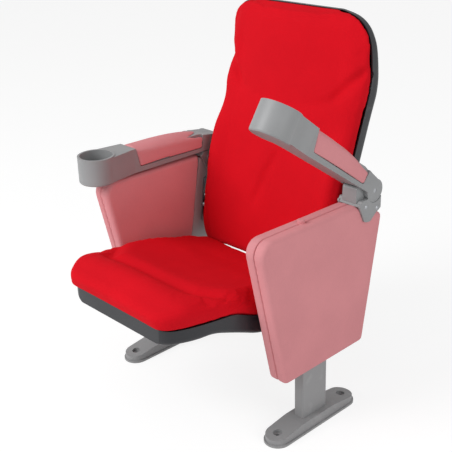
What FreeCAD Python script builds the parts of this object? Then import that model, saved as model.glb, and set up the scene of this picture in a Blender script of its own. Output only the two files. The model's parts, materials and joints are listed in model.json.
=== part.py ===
import FreeCAD, Part
import math
import os
import Sketcher

# A tip up auditorium seat: two floor stands with upholstered side panels carry a fixed back,
# a seat that tips up and two armrests that lift.
# X is to the viewer's right when looking at the front, Y to the rear, Z up, all in mm.
# The origin is the middle of the four floor bolts, on the floor.

os.makedirs("parts", exist_ok=True)
doc = FreeCAD.newDocument("AuditoriumSeat")
sheet = doc.addObject("Spreadsheet::Sheet", "Sizes")
Vec = FreeCAD.Vector

sizes = (
    # floor stands
    ("stand_gap", 580),         # from the middle of one stand to the middle of the other
    ("foot_len", 320),
    ("foot_wide", 72),
    ("foot_flange", 6),         # thin base edge round the foot
    ("foot_lip", 4),            # how far the flange stands out past the casting
    ("foot_tip", 18),           # height of the casting at its ends
    ("foot_top", 32),           # height of the casting at the post
    ("foot_flat", 62),          # half length of the level part under the post
    ("bolt_row", 248),          # between the two floor bolts of one foot
    ("bolt_hole", 11),
    ("bolt_seat", 24),          # spot face for the bolt's washer
    ("bolt_seat_deep", 5),
    ("post_deep", 92),
    ("post_thick", 30),
    ("post_wall", 3),
    ("post_top", 545),
    ("post_mid", 1),            # the post's middle, behind the origin
    # side panels
    ("panel_thick", 60),
    ("cover_thick", 15),        # foam and fabric over the core board
    ("panel_bottom", 184),
    ("panel_top", 577),
    ("panel_front_low", -118),
    ("panel_front_high", -204),
    ("panel_rear_low", 168),
    ("panel_rear_high", 239),
    ("panel_shoulder", 130),    # where the level top edge ends and slopes down to the rear
    ("panel_rear_top", 530),
    ("cover_round", 11),
    ("trim_top_y", 133),        # slanted rear edge of the inner cover, at the panel's top
    ("trim_low_y", 89),         # and at trim_low_z
    ("trim_low_z", 343),
    ("trim_thick", 12),
    ("trim_inset", 4),
    ("soft_gap", 0.3),          # a soft piece stays this far from its neighbours
    # seat pivot
    ("pivot_y", 45),
    ("pivot_z", 302),
    ("pin_r", 10),
    ("pin_play", 0.05),
    ("bracket_thick", 6),
    ("boss_r", 17.5),
    ("seat_half", 238),         # half width of the seat's pan at the pivot
    ("hinge_thick", 5),
    ("side_play", 0.8),         # between the hinge plate and the pan, and between it and the boss
    ("bush_r", 14),
    ("bush_len", 16),
    ("stop_y", -5),
    ("stop_z", 264),
    ("stop_r", 6),
    ("stop_sleeve", 2.5),       # rubber sleeve on the stop pin
    ("tip_angle", 75),          # how far the seat tips up
    # seat
    ("seat_front", -385),
    ("seat_rear", 104),
    ("frame_front", -262),      # front end of the seat frame's rails
    ("pan_wall", 3.5),
    ("pan_bottom_front", 340),
    ("pan_rim_front", 380),
    ("cushion_rise", 54),       # from the pan's rim to the top of the cushion's front roll
    ("rail_thick", 4),
    ("rail_x", 214),            # outer face of a seat frame rail
    ("tube_r", 11),
    ("tube_wall", 2),
    # armrests
    ("arm_y", 198),             # the armrests' hinge axis
    ("arm_z", 602),
    ("arm_wide", 68),
    ("arm_under", 589),
    ("arm_top", 657),
    ("arm_front", -160),
    ("barrel_r", 30),
    ("arm_pin_r", 6),
    ("tenon_wide", 44),
    ("tenon_r", 24),
    ("tenon_play", 1),
    ("cup_y", -206),
    ("cup_r", 50),
    ("cup_low", 585),
    ("cup_top", 659),
    ("cup_bore_r", 44),
    ("cup_floor", 5),
    ("buffer_y", -40),
    ("pad_front", -90),
    ("pad_rear", 147),
    ("pad_low", 603),
    ("pad_side", 6),
    ("pad_top", 15),
    ("raised_angle", 34),       # the right armrest as it stands in the photo's pose
    ("lift_angle", 88),         # how far an armrest lifts from level
    ("block_wide", 71),
    ("ear_thick", 5),
    ("ear_low", 524),
    ("ear_y", 180),
    ("ear_r", 27),
    # back
    ("shell_wall", 4),
    ("back_bottom", 337),
    ("back_top", 1032),
    ("back_half", 240),
    ("shell_deep", 46),         # from the cushion's seam to the shell's rear face
    ("frame_bar", 6),
    ("tab_low", 376),
    ("tab_high", 438),
    ("tab_thick", 5),
    ("bolt_r", 4),
    ("lumbar_dish", 12),
    ("head_crown", 32),
)
for row, (alias, amount) in enumerate(sizes, 1):
    sheet.set("A%d" % row, alias)
    sheet.set("B%d" % row, str(amount))
    sheet.setAlias("B%d" % row, alias)
doc.recompute()


class Size:
    """Reads a driving dimension from the sheet as a plain number."""

    def __getattr__(self, alias):
        return float(sheet.get(alias))


size = Size()
subparts = []
sides = (("left", -1), ("right", 1))


# Helpers for parametric bodies

def new_body(label):
    body = doc.addObject("PartDesign::Body", label)
    body.Label = label
    subparts.append(body)
    return body


def new_sketch(body, role, offset):
    """A sketch on one of the body's own origin planes, moved along its normal by an expression."""
    plane = [item for item in body.Origin.OriginFeatures if item.Role == role][0]
    sketch = body.newObject("Sketcher::SketchObject", body.Label + "_sketch")
    sketch.AttachmentSupport = [(plane, "")]
    sketch.MapMode = "FlatFace"
    sketch.setExpression("AttachmentOffset.Base.z", offset)
    return sketch


def draw_polygon(sketch, corners):
    """A closed outline; each corner is a pair of expressions."""
    count = len(corners)
    first = sketch.GeometryCount
    turn = [2 * math.pi * step / count for step in range(count)]
    ring = [Vec(100 * math.cos(angle), 100 * math.sin(angle), 0) for angle in turn]
    for step in range(count):
        sketch.addGeometry(Part.LineSegment(ring[step], ring[(step + 1) % count]), False)
    for step in range(count):
        follow = first + (step + 1) % count
        sketch.addConstraint(Sketcher.Constraint("Coincident", first + step, 2, follow, 1))
    for step, (across, upward) in enumerate(corners):
        spot = first + step
        place_point(sketch, spot, 1, ring[step], across, upward)


def place_point(sketch, geometry, vertex, start, across, upward):
    held = sketch.addConstraint(
        Sketcher.Constraint("DistanceX", -1, 1, geometry, vertex, start.x))
    sketch.setExpression("Constraints[%d]" % held, across)
    held = sketch.addConstraint(
        Sketcher.Constraint("DistanceY", -1, 1, geometry, vertex, start.y))
    sketch.setExpression("Constraints[%d]" % held, upward)


def draw_circle(sketch, across, upward, radius):
    circle = sketch.GeometryCount
    sketch.addGeometry(Part.Circle(Vec(7, 9, 0), Vec(0, 0, 1), 5), False)
    place_point(sketch, circle, 3, Vec(7, 9, 0), across, upward)
    held = sketch.addConstraint(Sketcher.Constraint("Radius", circle, 5))
    sketch.setExpression("Constraints[%d]" % held, radius)


def pad(body, sketch, length):
    feature = body.newObject("PartDesign::Pad", body.Label + "_pad")
    feature.Profile = sketch
    feature.setExpression("Length", length)
    sketch.Visibility = False
    doc.recompute()
    return feature


def cut(body, sketch, length, backwards=False):
    """A pocket; the volume must shrink, or the pocket points away from the solid."""
    before = body.Shape.Volume
    feature = body.newObject("PartDesign::Pocket", body.Label + "_pocket")
    feature.Profile = sketch
    feature.setExpression("Length", length)
    feature.Reversed = backwards
    doc.recompute()
    if not body.Shape.Volume < before:
        raise RuntimeError("a pocket of %s removes nothing" % body.Label)
    return feature


def round_edges(body, feature, radius, chosen):
    """A fillet on the edges whose middle point passes the given test."""
    names = []
    for number, edge in enumerate(feature.Shape.Edges, 1):
        middle = edge.valueAt((edge.FirstParameter + edge.LastParameter) / 2)
        if chosen(edge, middle):
            names.append("Edge%d" % number)
    fillet = body.newObject("PartDesign::Fillet", body.Label + "_fillet")
    fillet.Base = (feature, names)
    fillet.setExpression("Radius", radius)
    doc.recompute()
    return fillet


def add_solid(label, shape):
    """A sub-part whose form is a loft or a boolean of Part's own shapes."""
    item = doc.addObject("Part::Feature", label)
    item.Label = label
    item.Shape = shape
    subparts.append(item)
    return item


# Helpers for plain shapes

def outline_face(corners, x):
    """A face at one X from (y, z, radius) corners, each corner rounded by its radius."""
    count = len(corners)
    ends = []
    for step, (y, z, radius) in enumerate(corners):
        here = Vec(x, y, z)
        if radius == 0:
            ends.append((here, here, here))
            continue
        to_before = (Vec(x, *corners[step - 1][:2]) - here).normalize()
        to_after = (Vec(x, *corners[(step + 1) % count][:2]) - here).normalize()
        half = to_before.getAngle(to_after) / 2
        reach = radius / math.tan(half)
        bisector = (to_before + to_after).normalize()
        middle = here + bisector * (radius / math.sin(half) - radius)
        ends.append((here + to_before * reach, middle, here + to_after * reach))
    edges = []
    for step, (start, middle, end) in enumerate(ends):
        if start != end:
            edges.append(Part.Arc(start, middle, end).toShape())
        edges.append(Part.makeLine(end, ends[(step + 1) % count][0]))
    return Part.Face(Part.Wire(edges))


def slab(corners, x_low, x_high):
    return outline_face(corners, x_low).extrude(Vec(x_high - x_low, 0, 0))


def block(low, high):
    return Part.makeBox(high[0] - low[0], high[1] - low[1], high[2] - low[2], Vec(*low))


def loft(sections):
    """A smooth solid through closed sections; a low degree keeps it from bulging between them."""
    return Part.makeLoft(sections, True, False, False, 2)


def rod(radius, x_low, x_high, y, z):
    """A cylinder along X."""
    return Part.makeCylinder(radius, x_high - x_low, Vec(x_low, y, z), Vec(1, 0, 0))


def between(value, points):
    """Reads a curve given by (place, height) points, with straight runs between them."""
    if value <= points[0][0]:
        return points[0][1]
    for (low, start), (high, end) in zip(points, points[1:]):
        if value <= high:
            return start + (end - start) * (value - low) / (high - low)
    return points[-1][1]


def ordered(one, other):
    return (min(one, other), max(one, other))


# Floor stands

def make_foot(label, side):
    body = new_body(label)
    middle = "%d * Sizes.stand_gap / 2" % side
    half = "Sizes.foot_wide / 2"
    # base flange with round ends
    for inset, low, high in (("0", "0", "Sizes.foot_flange"),
                             ("Sizes.foot_lip", "Sizes.foot_flange", "Sizes.foot_top")):
        reach = "(Sizes.foot_len - Sizes.foot_wide) / 2"
        run = new_sketch(body, "XY_Plane", low)
        draw_polygon(run, [(middle + " - (" + half + " - " + inset + ")", "-" + reach),
                           (middle + " + (" + half + " - " + inset + ")", "-" + reach),
                           (middle + " + (" + half + " - " + inset + ")", reach),
                           (middle + " - (" + half + " - " + inset + ")", reach)])
        pad(body, run, high + " - " + low)
        for sign in ("-", ""):
            end = new_sketch(body, "XY_Plane", low)
            draw_circle(end, middle, sign + reach, half + " - " + inset)
            pad(body, end, high + " - " + low)
    # the casting falls from the post towards both ends
    for sign in ("-", ""):
        slope = new_sketch(body, "YZ_Plane", middle + " - Sizes.foot_wide")
        draw_polygon(slope, [(sign + "Sizes.foot_flat", "Sizes.foot_top"),
                             (sign + "Sizes.foot_flat", "Sizes.foot_top + 5"),
                             (sign + "(Sizes.foot_len / 2 + 5)", "Sizes.foot_top + 5"),
                             (sign + "(Sizes.foot_len / 2 + 5)", "Sizes.foot_tip")])
        cut(body, slope, "Sizes.foot_wide * 2", backwards=True)
    for sign in ("-", ""):
        spot = new_sketch(body, "XY_Plane", "Sizes.foot_tip + 2 - Sizes.bolt_seat_deep")
        draw_circle(spot, middle, sign + "Sizes.bolt_row / 2", "Sizes.bolt_seat / 2")
        cut(body, spot, "Sizes.foot_top", backwards=True)
        hole = new_sketch(body, "XY_Plane", "0")
        draw_circle(hole, middle, sign + "Sizes.bolt_row / 2", "Sizes.bolt_hole / 2")
        feature = cut(body, hole, "Sizes.foot_top", backwards=True)
    return feature


def make_post(label, side):
    body = new_body(label)
    middle = "%d * Sizes.stand_gap / 2" % side
    walls = new_sketch(body, "XY_Plane", "Sizes.foot_top")
    for wall in ("0", "Sizes.post_wall"):
        across = "(Sizes.post_thick / 2 - " + wall + ")"
        along = "(Sizes.post_deep / 2 - " + wall + ")"
        draw_polygon(walls, [(middle + " - " + across, "Sizes.post_mid - " + along),
                             (middle + " + " + across, "Sizes.post_mid - " + along),
                             (middle + " + " + across, "Sizes.post_mid + " + along),
                             (middle + " - " + across, "Sizes.post_mid + " + along)])
    tube = pad(body, walls, "Sizes.post_top - Sizes.foot_top")
    outer = size.post_thick / 2 - 0.1

    def corner(edge, spot):
        upright = abs(edge.Length - (size.post_top - size.foot_top)) < 0.1
        return upright and abs(spot.x - side * size.stand_gap / 2) > outer
    round_edges(body, tube, "Sizes.post_wall * 1.2", corner)


# Side panels

def panel_corners(inset=0):
    """The panel's outline seen from the side, as (y, z, radius)."""
    return ((size.panel_front_high, size.panel_top, 36),
            (size.panel_front_low, size.panel_bottom, 12),
            (size.panel_rear_low, size.panel_bottom + 3, 12),
            (size.panel_rear_high, size.panel_rear_top, 10),
            (size.panel_shoulder, size.panel_top, 20))


def panel_mid(side):
    return side * size.stand_gap / 2


def core_half():
    return size.panel_thick / 2 - size.cover_thick


def core_face(x):
    """The core board's outline: the panel's, drawn in by the cover's thickness."""
    return outline_face(panel_corners(), x).makeOffset2D(-size.cover_thick)


def post_slot(side, clear, low, high):
    middle = panel_mid(side)
    half_x = size.post_thick / 2 + clear
    half_y = size.post_deep / 2 + clear
    return block((middle - half_x, size.post_mid - half_y, low),
                 (middle + half_x, size.post_mid + half_y, high))


def core_solid(side):
    middle = panel_mid(side)
    board = core_face(middle - core_half()).extrude(Vec(2 * core_half(), 0, 0))
    board = board.cut(post_slot(side, 0, 0, size.post_top))
    for y, z in bracket_screws():
        board = board.cut(rod(size.bolt_r, middle - core_half(), middle + core_half(), y, z))
    return board


def trim_line(z):
    """Where the inner cover's slanted rear edge lies at a height."""
    rise = (z - size.trim_low_z) / (size.panel_top - size.trim_low_z)
    return size.trim_low_y + (size.trim_top_y - size.trim_low_y) * rise


def rear_zone(side, shift, reach):
    """Everything behind the slanted line, from the core's inner face inwards."""
    inner = panel_mid(side) - side * core_half()
    low, high = ordered(inner, inner - side * reach)
    bottom = size.panel_bottom - 50
    top = size.panel_top + 50
    return slab(((trim_line(bottom) + shift, bottom, 0), (size.panel_rear_high + 80, bottom, 0),
                 (size.panel_rear_high + 80, top, 0), (trim_line(top) + shift, top, 0)), low, high)


def make_covers(name, side):
    middle = panel_mid(side)
    half = size.panel_thick / 2
    low, high = middle - half, middle + half
    whole = slab(panel_corners(), low, high)
    rims = [edge for edge in whole.Edges
            if abs(edge.BoundBox.XLength) < 0.01 and edge.Length > 1]
    whole = whole.makeFillet(size.cover_round, rims)
    whole = whole.cut(core_face(middle - core_half()).extrude(Vec(2 * core_half(), 0, 0)))
    whole = whole.cut(post_slot(side, 0, 0, size.post_top))
    outer_box = block((ordered(middle, middle + side * 2 * half)[0], -400, 100),
                      (ordered(middle, middle + side * 2 * half)[1], 400, 700))
    outer = whole.common(outer_box)
    inner = whole.cut(outer_box)
    inner = inner.cut(rear_zone(side, 0, 60))
    inner = inner.cut(bracket_solid(side, 0))
    inner = inner.cut(rod(size.boss_r, *ordered(middle, 0), size.pivot_y, size.pivot_z))
    inner = inner.cut(rod(stop_reach(), *ordered(middle, 0), size.stop_y, size.stop_z))
    add_solid(name + "_side_cover_outer", outer)
    add_solid(name + "_side_cover_inner", inner)


def make_trim(name, side):
    """The grey plate on the inner face, behind the upholstery."""
    inner = panel_mid(side) - side * core_half()
    low, high = ordered(inner, inner - side * size.trim_thick)
    plate = outline_face(panel_corners(), low).makeOffset2D(-size.trim_inset)
    plate = plate.extrude(Vec(high - low, 0, 0))
    plate = plate.common(rear_zone(side, size.trim_inset, 60))
    face = inner - side * size.trim_thick
    rims = [edge for edge in plate.Edges
            if edge.BoundBox.XLength < 0.01 and abs(edge.BoundBox.XMin - face) < 0.01]
    plate = plate.makeFillet(2.5, rims)
    plate = plate.cut(bracket_solid(side, 0))
    for y, z in back_screws():
        plate = plate.cut(rod(size.bolt_r, *ordered(0, panel_mid(side)), y, z))
    add_solid(name + "_side_trim", plate)


# Seat pivot

def stop_reach():
    return size.stop_r + size.stop_sleeve


def bracket_face_x(side):
    return panel_mid(side) - side * core_half()


def bracket_solid(side, clear):
    """Steel plate on the core: a bar from the pivot's boss back to the panel's rear, with a lug
    down to the stop pin."""
    start = bracket_face_x(side)
    low, high = ordered(start, start - side * (size.bracket_thick + clear))
    grow = 12 + clear
    bar = slab(((size.pivot_y - 18 - grow, size.pivot_z + 6, 14),
                (size.pivot_y - 4 - grow, size.pivot_z - 32 - grow, 10),
                (size.pivot_y + 40, size.pivot_z - 26 - grow, 12),
                (158 + clear, 424 - grow, 14),
                (162 + clear, 452 + grow, 14),
                (118 - grow, 452 + grow, 14)), low, high)
    lug = slab(((size.pivot_y + 8, size.pivot_z - 8, 3),
                (size.pivot_y - 30, size.pivot_z + 14, 3),
                (size.stop_y - 14 - clear, size.stop_z + 4, 6),
                (size.stop_y - 6, size.stop_z - 14 - clear, 6),
                (size.stop_y + 16, size.stop_z - 12 - clear, 6),
                (size.pivot_y + 2, size.pivot_z - 34, 3)), low, high)
    return bar.fuse(lug).removeSplitter()


def boss_end(side):
    """The boss's face, next to the seat's hinge plate."""
    return side * (size.seat_half + size.hinge_thick + 2 * size.side_play)


def make_bracket(name, side):
    plate = bracket_solid(side, 0)
    start = bracket_face_x(side) - side * size.bracket_thick
    plate = plate.fuse(rod(size.boss_r, *ordered(start, boss_end(side)), size.pivot_y, size.pivot_z))
    plate = plate.cut(rod(size.pin_r, -400, 400, size.pivot_y, size.pivot_z))
    plate = plate.cut(rod(size.stop_r, -400, 400, size.stop_y, size.stop_z))
    for y, z in bracket_screws():
        plate = plate.cut(countersunk(side, y, z))
    for y, z in back_screws():
        plate = plate.cut(rod(size.bolt_r, *ordered(0, panel_mid(side)), y, z))
    add_solid(name + "_pivot_bracket", plate)


def bracket_screws():
    """The countersunk screws that hold the pivot bracket to the core board."""
    return ((76, 330), (104, 376), (122, 440))


def back_screws():
    """The screws through back bracket and trim into the pivot bracket."""
    return ((143, 424), (150, 452))


def countersunk(side, y, z):
    """A countersunk screw, flush with the pivot bracket's inner face."""
    face = bracket_face_x(side) - side * size.bracket_thick
    head = Part.makeCone(size.bolt_r * 2, size.bolt_r, size.bolt_r, Vec(face, y, z), Vec(side, 0, 0))
    shank = rod(size.bolt_r, *ordered(face, bracket_face_x(side) + side * 22), y, z)
    return head.fuse(shank).removeSplitter()


def make_bracket_screws():
    solids = [countersunk(side, y, z) for name, side in sides for y, z in bracket_screws()]
    add_solid("pivot_bracket_screws", Part.makeCompound(solids))


def make_pins(name, side):
    """The seat's pivot pin, the stop pin with its rubber sleeve and the arm's pin."""
    outer = bracket_face_x(side)
    inner = side * (size.rail_x - size.rail_thick - 18)
    for label, radius, start, end, y, z in (
            ("_pivot_pin", "pin_r", outer, inner, "pivot_y", "pivot_z"),
            ("_stop_pin", "stop_r", outer, side * (size.seat_half + size.side_play), "stop_y", "stop_z")):
        pin = doc.addObject("Part::Cylinder", name + label)
        pin.Label = name + label
        pin.setExpression("Radius", "Sizes." + radius)
        pin.Height = abs(end - start)
        pin.Placement = FreeCAD.Placement(
            Vec(min(start, end), 0, 0), FreeCAD.Rotation(Vec(0, 1, 0), 90))
        pin.setExpression("Placement.Base.y", "Sizes." + y)
        pin.setExpression("Placement.Base.z", "Sizes." + z)
        subparts.append(pin)
    start, end = ordered(side * (size.seat_half + size.side_play),
                         side * (size.seat_half + size.side_play + size.hinge_thick + 4))
    sleeve = rod(stop_reach(), start, end, size.stop_y, size.stop_z)
    sleeve = sleeve.cut(rod(size.stop_r, start, end, size.stop_y, size.stop_z))
    add_solid(name + "_stop_buffer", sleeve)


def stop_line(angle):
    """A point on the ray from the pivot to the stop pin, turned by an angle, at one unit."""
    toward = math.atan2(size.stop_z - size.pivot_z, size.stop_y - size.pivot_y)
    turned = toward + math.radians(angle)
    return math.cos(turned), math.sin(turned)


def make_hinge_plate(name, side):
    """Steel plate on the pan's side; its two heels meet the stop pin at both ends of the travel."""
    start = side * (size.seat_half + size.side_play)
    low, high = ordered(start, start + side * size.hinge_thick)
    pivot = (size.pivot_y, size.pivot_z)
    distance = math.hypot(size.stop_y - size.pivot_y, size.stop_z - size.pivot_z)
    half = math.degrees(math.asin((stop_reach() + size.soft_gap) / distance))

    def spot(angle, radius):
        across, upward = stop_line(angle)
        return pivot[0] + across * radius, pivot[1] + upward * radius

    lower = spot(-half, distance + 9)
    heel = spot(size.tip_angle + half, distance + 8)
    heel_back = spot(size.tip_angle + half + 24, distance)
    plate = slab(((pivot[0] - 108, pivot[1] + 12, 8), (pivot[0] - 108, pivot[1] - 14, 6),
                  (*lower, 4), (*pivot, 0), (pivot[0] + 4, pivot[1] + 17, 4)), low, high)
    plate = plate.fuse(slab(((*heel, 4), (*heel_back, 5), (pivot[0] + 20, pivot[1] + 4, 3),
                             (*pivot, 0)), low, high))
    plate = plate.fuse(rod(size.boss_r, low, high, *pivot)).removeSplitter()
    plate = plate.cut(rod(size.bush_r, low, high, *pivot))
    for y, z in hinge_bolts():
        plate = plate.cut(rod(3.2, low, high, y, z))
    add_solid(name + "_hinge_plate", plate)


def hinge_bolts():
    """The two screws that hold a hinge plate to the seat's frame."""
    return ((size.pivot_y - 62, size.pivot_z + 6), (size.pivot_y - 34, size.pivot_z + 4))


def make_bush(name, side):
    """Nylon bush in the hinge plate, turning on the pivot pin."""
    start = side * (size.seat_half + size.side_play + size.hinge_thick)
    low, high = ordered(start, start - side * size.bush_len)
    bush = rod(size.bush_r, low, high, size.pivot_y, size.pivot_z)
    bush = bush.cut(rod(size.pin_r + size.pin_play, low, high, size.pivot_y, size.pivot_z))
    add_solid(name + "_pivot_bush", bush)


def make_spring_can(name, side):
    """Return spring cartridge round the pin's inner end, with its lever along the rail."""
    start = side * (size.rail_x - size.rail_thick)
    low, high = ordered(start, start - side * 16)
    can = rod(18, low, high, size.pivot_y, size.pivot_z)
    lever = slab(((size.pivot_y - 60, size.pivot_z - 5, 5), (size.pivot_y - 60, size.pivot_z - 16, 5),
                  (size.pivot_y, size.pivot_z - 18, 0), (size.pivot_y, size.pivot_z - 5, 0)),
                 *ordered(start, start - side * 5))
    can = can.fuse(lever).removeSplitter()
    can = can.cut(rod(size.pin_r + size.pin_play, low, high, size.pivot_y, size.pivot_z))
    add_solid(name + "_spring_cartridge", can)


# Seat

# Half width of the pan, its lower edge and its rim along Y. The front corners are round, and behind
# the level front the side dips to the pivot.
def seat_width(y):
    ahead = y - size.seat_front
    return between(ahead, ((0, 160), (6, 175), (20, 190), (45, 203), (85, 216), (135, 228),
                           (180, 235), (240, size.seat_half), (430, size.seat_half), (480, 234)))


def pan_bottom(y):
    drop = between(y, ((-250, 0), (-184, 25), (-150, 39), (-126, 49), (-60, 63), (20, 69), (70, 67),
                       (100, 52)))
    return size.pan_bottom_front - drop


def rim_line():
    """The seam between pan and cushion seen from the side, as (y, z, radius)."""
    rim = size.pan_rim_front
    return ((-420, rim, 0), (-212, rim, 80), (-130, rim - 35, 150), (-50, rim - 51, 200),
            (size.seat_rear + 20, rim - 61, 0))


def above_rim():
    """All the room above that seam."""
    return slab(rim_line() + ((size.seat_rear + 20, 600, 0), (-420, 600, 0)), -320, 320)


def pan_rim(y):
    return between(y, [corner[:2] for corner in rim_line()])


def cushion_edge_top(y):
    """Height of the cushion's top near its sides."""
    fall = between(y, ((-392, 26), (-380, 12), (-350, 3), (-310, 0), (-227, 5), (-94, 28), (15, 53),
                       (104, 85)))
    return size.pan_rim_front + size.cushion_rise - fall


def cushion_middle_top(y):
    """Height of the cushion's top on its middle line: a roll at the front, then a dish."""
    rise = between(y, ((-392, 2), (-350, 10), (-310, 10), (-260, 0), (-200, -10), (-94, -12),
                       (15, -9), (104, -3)))
    return cushion_edge_top(y) + rise


def seat_section(y, half, low, high, middle, bulge, floor_half):
    """One closed section across the seat: level floor, bulged sides and an arched top."""
    side_z = low + (high - low) * 0.45
    top_half = half - min(22, (high - low) * 0.42)
    points = (Vec(-floor_half, y, low), Vec(floor_half, y, low), Vec(half + bulge, y, side_z),
              Vec(top_half, y, high), Vec(0, y, middle), Vec(-top_half, y, high),
              Vec(-half - bulge, y, side_z))
    edges = [Part.makeLine(points[0], points[1]),
             Part.Arc(points[1], points[2], points[3]).toShape(),
             Part.Arc(points[3], points[4], points[5]).toShape(),
             Part.Arc(points[5], points[6], points[0]).toShape()]
    return Part.Wire(edges)


def pan_section(y, half, low, high, corner):
    """One section of the pan: flat floor, round lower corners and sides that lean outwards."""
    foot = half - corner
    turn = corner * (1 - math.sqrt(0.5))
    edges = [Part.makeLine(Vec(-foot, y, low), Vec(foot, y, low)),
             Part.Arc(Vec(foot, y, low), Vec(half - 1 - turn, y, low + turn),
                      Vec(half - 1, y, low + corner)).toShape(),
             Part.makeLine(Vec(half - 1, y, low + corner), Vec(half, y, high)),
             Part.makeLine(Vec(half, y, high), Vec(-half, y, high)),
             Part.makeLine(Vec(-half, y, high), Vec(-half + 1, y, low + corner)),
             Part.Arc(Vec(-half + 1, y, low + corner), Vec(-half + 1 + turn, y, low + turn),
                      Vec(-foot, y, low)).toShape()]
    return Part.Wire(edges)


def seat_stations(front, rear):
    """Close together round the front edge, then evenly spaced."""
    ahead = [front, front + 7, front + 20, front + 45, front + 85]
    pitch = (rear - ahead[-1]) / 10
    return ahead + [ahead[-1] + pitch * step for step in range(1, 11)]


def tube_places():
    """The seat frame's cross tubes, as (y, half length)."""
    return ((-322, 180), (-36, size.rail_x), (80, size.rail_x))


def tube_z(y):
    return (pan_bottom(y) + pan_rim(y)) / 2


def pan_screws():
    return [(x, y) for y, half in tube_places()[:2] for x in (-150, 150)]


def pan_loft(grow):
    """The pan's form up to just above its rim; a negative grow gives the hollow inside it."""
    corner = 14
    sections = []
    for y in seat_stations(size.seat_front - grow, size.seat_rear + grow):
        sections.append(pan_section(y, seat_width(y) + grow, pan_bottom(y) - grow, pan_rim(y) + 12,
                                    corner + grow))
    return loft(sections)


def make_seat_shell():
    shell = pan_loft(0).cut(pan_loft(-size.pan_wall))
    for x, y in pan_screws():
        post = Part.makeCylinder(9, tube_z(y) - pan_bottom(y), Vec(x, y, pan_bottom(y)))
        shell = shell.fuse(post.cut(rod(size.tube_r, -300, 300, y, tube_z(y))))
    shell = shell.cut(above_rim()).removeSplitter()
    for x, y in pan_screws():
        shell = shell.cut(Part.makeCylinder(3, 60, Vec(x, y, pan_bottom(y) - 10)))
    shell = shell.cut(rod(size.bush_r + size.soft_gap, -300, 300, size.pivot_y, size.pivot_z))
    for y, z in hinge_bolts():
        shell = shell.cut(rod(3.2, -300, 300, y, z))
    add_solid("seat_shell", shell)


def make_pan_screws():
    """The screws from below through the pan into the frame's tubes."""
    solids = []
    for x, y in pan_screws():
        low = pan_bottom(y)
        head = Part.makeCylinder(6, 2.5, Vec(x, y, low - 3.4))
        shank = Part.makeCylinder(3, tube_z(y) - size.tube_r + 4 - low, Vec(x, y, low - 1))
        solids.append(head.fuse(shank).removeSplitter())
    add_solid("seat_shell_screws", Part.makeCompound(solids))


def make_seat_cushion():
    sections = []
    for y in seat_stations(size.seat_front - 8, size.seat_rear):
        low = pan_rim(y) - 15
        width = seat_width(y + 8)
        if y < size.seat_front:
            low = low + 26 * (size.seat_front - y) / 8
        sections.append(seat_section(y, width, low, cushion_edge_top(y), cushion_middle_top(y),
                                     3, width - 3))
    add_solid("seat_cushion", loft(sections).common(above_rim()))


def make_seat_frame():
    """Two plate rails on edge, joined by three cross tubes."""
    wall = size.pan_wall + 3
    stations = (size.frame_front, -238, -184, -126, -60, 20, 86)
    floor = [(y, pan_bottom(y) + wall, 0) for y in stations]
    top = [(y, pan_rim(y) - 2, 0) for y in reversed(stations)]
    frame = None
    for side in (-1, 1):
        outer = side * size.rail_x
        rail = slab(floor + top, *ordered(outer, outer - side * size.rail_thick))
        for y in (-232, -190, -130, -80):
            rail = rail.cut(rod(8, -300, 300, y, tube_z(y)))
        # a bent arm carries the front tube, where the pan grows narrow
        foot = block((min(side * 176, side * 180), -322, tube_z(-322) - 8),
                     (max(side * 176, side * 180), size.frame_front + 3, tube_z(-322) + 8))
        bridge = block((min(outer, side * 176), size.frame_front, tube_z(-322) - 8),
                       (max(outer, side * 176), size.frame_front + 4, tube_z(-322) + 8))
        rail = rail.fuse(foot).fuse(bridge)
        frame = rail if frame is None else frame.fuse(rail)
    for y, half in tube_places():
        frame = frame.fuse(rod(size.tube_r, -half, half, y, tube_z(y)))
    for y, half in tube_places():
        frame = frame.cut(rod(size.tube_r - size.tube_wall, -half, half, y, tube_z(y)))
    frame = frame.removeSplitter()
    frame = frame.cut(rod(size.pin_r + 3, -300, 300, size.pivot_y, size.pivot_z))
    for y, z in hinge_bolts():
        frame = frame.cut(rod(3, -300, 300, y, z))
    for x, y in pan_screws():
        frame = frame.cut(Part.makeCylinder(3, 30, Vec(x, y, tube_z(y) - 30)))
    add_solid("seat_frame", frame)


def make_hinge_screws():
    """The screws that join hinge plate, pan and rail, with a spacer sleeve between pan and rail."""
    solids = []
    for side in (-1, 1):
        head_face = side * (size.seat_half + size.side_play + size.hinge_thick)
        inner = side * (size.rail_x - size.rail_thick - 3)
        for y, z in hinge_bolts():
            shank = rod(3, *ordered(head_face, inner), y, z)
            head = Part.makeCone(6, 4, 3, Vec(head_face, y, z), Vec(side, 0, 0))
            sleeve_end = side * (size.seat_half - size.pan_wall - 2)
            sleeve = rod(6, *ordered(side * size.rail_x, sleeve_end), y, z)
            solids.append(shank.fuse(head).fuse(sleeve).removeSplitter())
    add_solid("hinge_plate_screws", Part.makeCompound(solids))


# Armrests

def pad_zone(side, grow, top_extra):
    """The armrest's padded stretch, seen from the side, with its slanted ends."""
    middle = panel_mid(side)
    half = size.arm_wide / 2 + 10
    return slab(((size.pad_front - 13 - grow, size.arm_top + top_extra, 0),
                 (size.pad_front + 4 - grow, size.pad_low - grow, 6),
                 (size.pad_rear - 5 + grow, size.pad_low - 3 - grow, 6),
                 (size.pad_rear + 3 + grow, size.arm_top + top_extra, 0)),
                middle - half, middle + half)


def arm_top_profile():
    return ((size.arm_front - 20, size.arm_top), (size.pad_front - 20, size.arm_top),
            (-30, size.arm_top - 1), (64, size.arm_top - 5), (118, size.arm_top - 13),
            (160, size.arm_top - 21), (size.arm_y - 6, size.arm_z + size.barrel_r - 0.6))


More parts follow.
